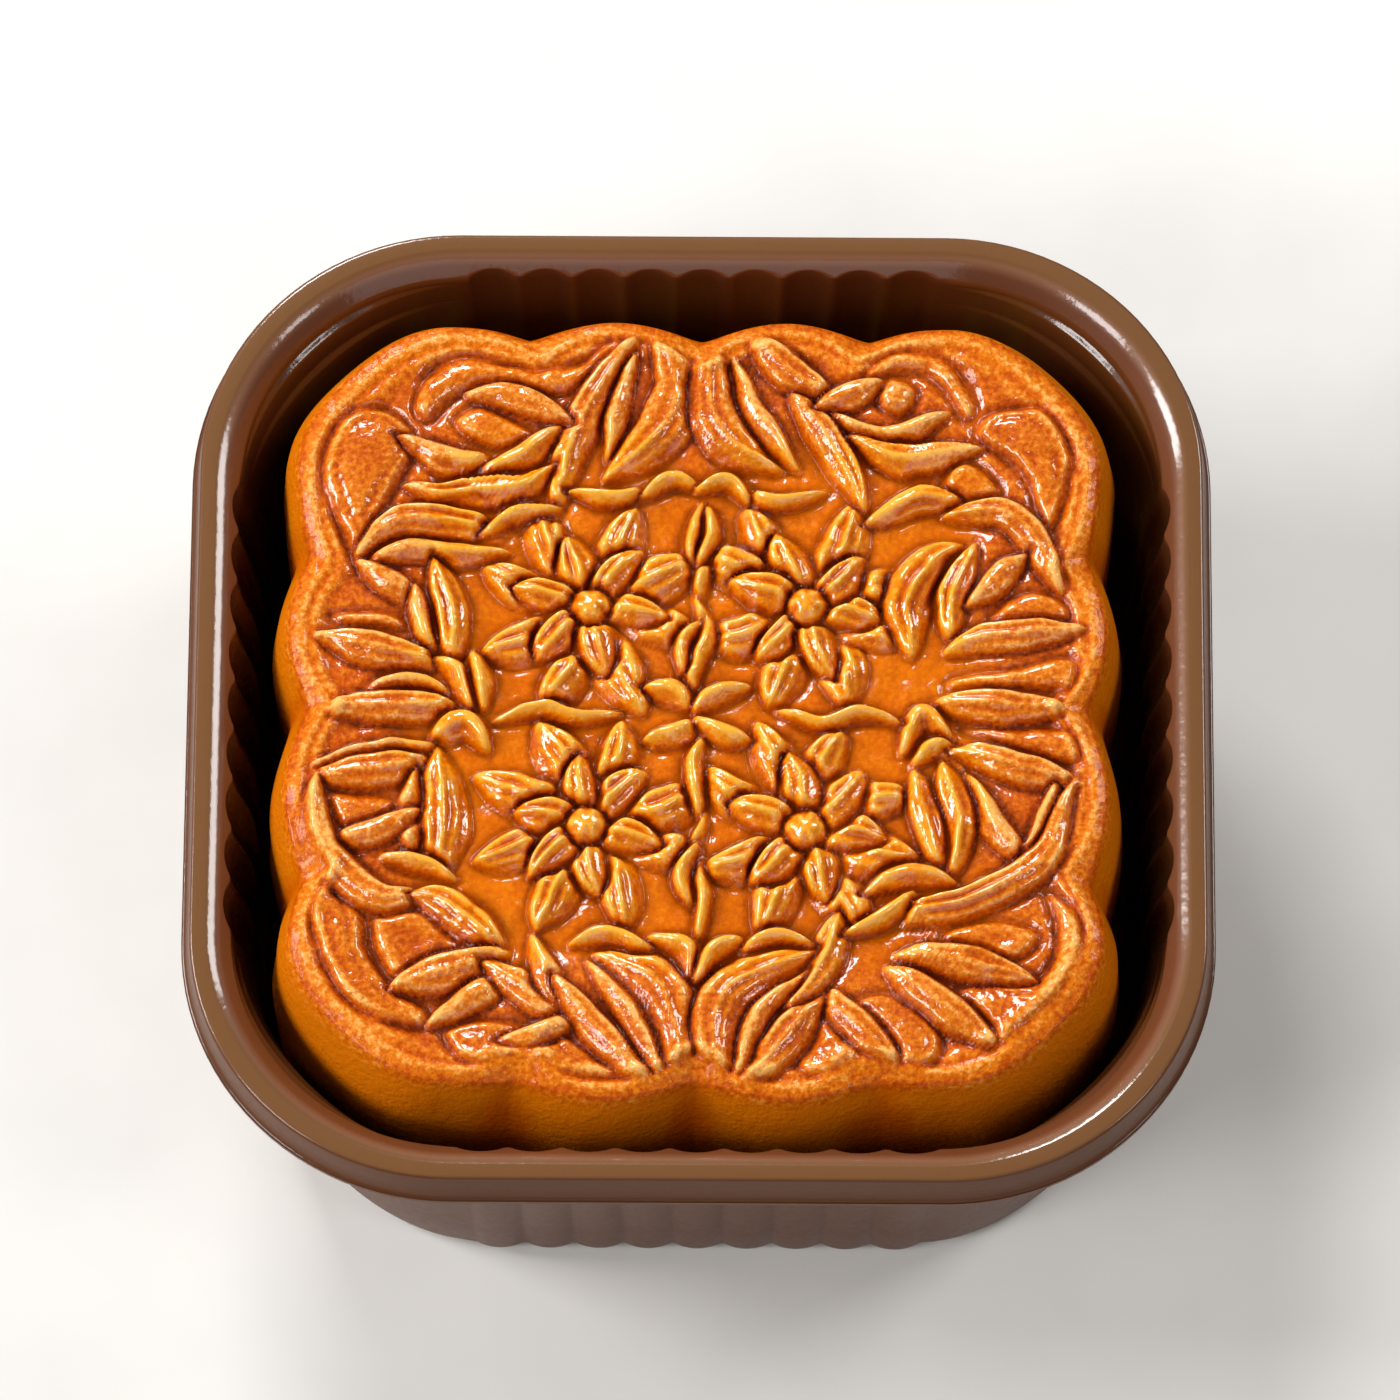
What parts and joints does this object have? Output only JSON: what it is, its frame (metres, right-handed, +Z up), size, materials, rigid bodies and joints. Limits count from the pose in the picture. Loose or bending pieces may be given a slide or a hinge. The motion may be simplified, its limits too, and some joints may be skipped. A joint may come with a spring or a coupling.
{
  "type": "mooncake in its tray",
  "caption": "Square baked mooncake with a scalloped side and a pressed relief of leaves, petals and blossoms, sitting in its thin moulded tray.",
  "frame": {"origin": "the middle of the tray's underside, on the table", "axes": "+Z up through the cake's relief, +Y towards the back of the relief, +X to the right"},
  "size_m": [0.0868, 0.0868, 0.0362],
  "materials": {
    "baked_crust": "baked and egg-glazed pastry",
    "brown_plastic": "glossy thermoformed sheet"
  },
  "bodies": {
    "root": {"mooncake": "baked_crust", "tray": "brown_plastic"}
  },
  "joints": []
}
